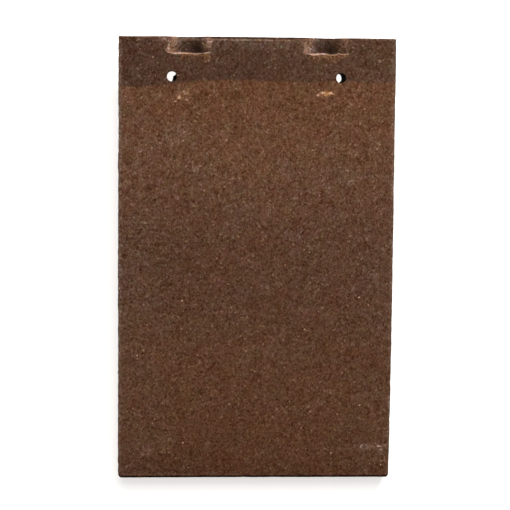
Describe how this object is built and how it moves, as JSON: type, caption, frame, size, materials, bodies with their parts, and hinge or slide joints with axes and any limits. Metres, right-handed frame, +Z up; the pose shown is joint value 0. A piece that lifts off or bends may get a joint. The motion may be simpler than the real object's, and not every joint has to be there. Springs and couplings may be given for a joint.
{
  "type": "plain clay roof tile",
  "caption": "Flat rectangular fired-clay roofing tile, slightly bent along its length, with hanging nibs under the head, press marks above them and nail holes below.",
  "frame": {"origin": "middle of the tile's footprint, on the level surface that it lies on", "axes": "+X across the tile, +Y along it from tail to head, +Z up, out of the weather face and along the nail holes"},
  "size_m": [0.165, 0.2647, 0.0228],
  "materials": {
    "fired_clay": "unglazed, dry sanded face, fully matt"
  },
  "bodies": {
    "root": {"roof_tile": "fired_clay"}
  },
  "joints": []
}
